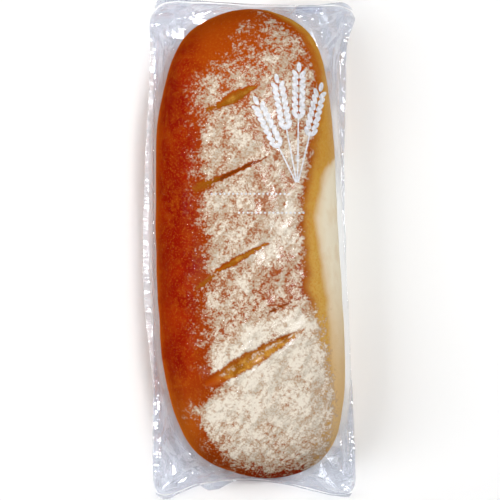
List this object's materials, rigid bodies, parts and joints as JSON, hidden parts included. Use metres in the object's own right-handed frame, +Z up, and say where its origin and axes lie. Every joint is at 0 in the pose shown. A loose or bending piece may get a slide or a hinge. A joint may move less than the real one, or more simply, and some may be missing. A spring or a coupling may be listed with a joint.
{
  "type": "milk loaf in a clear bag",
  "caption": "Long soft milk loaf with flour dusting and diagonal scores, sealed in a clear glossy film bag with a pale print, lying flat.",
  "frame": {"origin": "middle of the flat base that the bag lies on", "axes": "+X across the loaf to the side where its pale flank shows, +Y along it to the slimmer end, +Z up through the scored crown"},
  "size_m": [0.1284, 0.2976, 0.06],
  "materials": {
    "film": "clear thin glossy film with crimped seals and a pale print",
    "crust": "baked crust with a slight sheen, dusted with flour on top"
  },
  "bodies": {
    "root": {"bagged_loaf": "film"}
  },
  "joints": []
}
